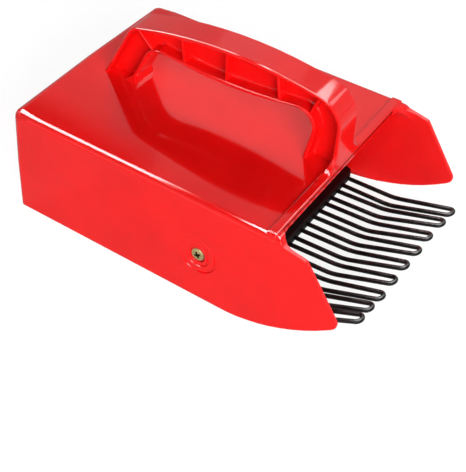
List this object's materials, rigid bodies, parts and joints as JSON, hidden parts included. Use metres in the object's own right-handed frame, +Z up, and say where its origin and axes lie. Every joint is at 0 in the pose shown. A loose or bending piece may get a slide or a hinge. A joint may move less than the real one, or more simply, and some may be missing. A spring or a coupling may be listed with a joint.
{
  "type": "berry picking rake",
  "caption": "Hand-held berry picking rake: a red moulded scoop with an arched handle, side cheeks and a black comb base with springy coated wire tines",
  "frame": {"origin": "On the underside of the scoop's flat floor, on the middle plane, 70 mm in front of the back wall's lower edge", "axes": "+X points forward to the tine tips, +Y to the left of a person who holds the handle, +Z up"},
  "size_m": [0.2339, 0.1528, 0.1222],
  "materials": {
    "red_moulding": "gloss",
    "black_moulding": "satin",
    "tine_wire": "gloss",
    "side_screw": "satin"
  },
  "bodies": {
    "root": {"scoop_body": "red_moulding", "comb_base": "black_moulding", "tine_1": "tine_wire", "tine_2": "tine_wire", "tine_3": "tine_wire", "tine_4": "tine_wire", "tine_5": "tine_wire", "tine_6": "tine_wire", "tine_7": "tine_wire", "tine_8": "tine_wire", "tine_9": "tine_wire", "left_screw": "side_screw", "right_screw": "side_screw"}
  },
  "joints": []
}
